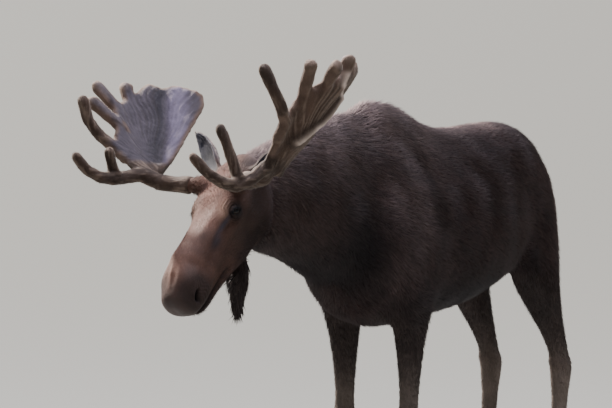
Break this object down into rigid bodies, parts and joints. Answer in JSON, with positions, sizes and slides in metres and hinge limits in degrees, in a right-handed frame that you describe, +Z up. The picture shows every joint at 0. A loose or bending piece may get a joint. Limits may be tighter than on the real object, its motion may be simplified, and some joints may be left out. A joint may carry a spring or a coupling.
{
  "type": "bull moose",
  "caption": "Life-size still model of a bull moose in summer velvet, standing with its head lowered and turned a little to its right as it browses.",
  "frame": {"origin": "on the floor, under the middle of the whole animal's box", "axes": "the head points to -X and the tail to +X, the animal's right side is +Y, and +Z is up"},
  "size_m": [2.8256, 1.3158, 2.0699],
  "materials": {
    "coat": "coarse dark brown hair with greyer tips",
    "face": "short reddish tan hair",
    "leg_coat": "short grey-tan hair",
    "ear": "short grey-tan hair, bluish grey inside",
    "velvet": "brown velvet with a light rim",
    "eye": "wet, dark brown",
    "hoof": "dark horn"
  },
  "bodies": {
    "root": {"trunk": "coat", "neck": "coat", "tail": "coat", "bell": "coat", "head": "face", "lower_jaw": "face", "ear_left": "ear", "ear_right": "ear", "eye_left": "eye", "eye_right": "eye", "antler_left_beam": "velvet", "antler_left_brow": "velvet", "antler_left_palm": "velvet", "antler_left_tine": "velvet", "antler_right_beam": "velvet", "antler_right_brow": "velvet", "antler_right_palm": "velvet", "antler_right_tine": "velvet", "foreleg_left_upper": "coat", "foreleg_left_lower": "leg_coat", "foreleg_left_hoof_outer": "hoof", "foreleg_left_hoof_inner": "hoof", "foreleg_left_dewclaw_outer": "hoof", "foreleg_left_dewclaw_inner": "hoof", "foreleg_right_upper": "coat", "foreleg_right_lower": "leg_coat", "foreleg_right_hoof_outer": "hoof", "foreleg_right_hoof_inner": "hoof", "foreleg_right_dewclaw_outer": "hoof", "foreleg_right_dewclaw_inner": "hoof", "hindleg_left_upper": "coat", "hindleg_left_lower": "leg_coat", "hindleg_left_hoof_outer": "hoof", "hindleg_left_hoof_inner": "hoof", "hindleg_left_dewclaw_outer": "hoof", "hindleg_left_dewclaw_inner": "hoof", "hindleg_right_upper": "coat", "hindleg_right_lower": "leg_coat", "hindleg_right_hoof_outer": "hoof", "hindleg_right_hoof_inner": "hoof", "hindleg_right_dewclaw_outer": "hoof", "hindleg_right_dewclaw_inner": "hoof"}
  },
  "joints": []
}
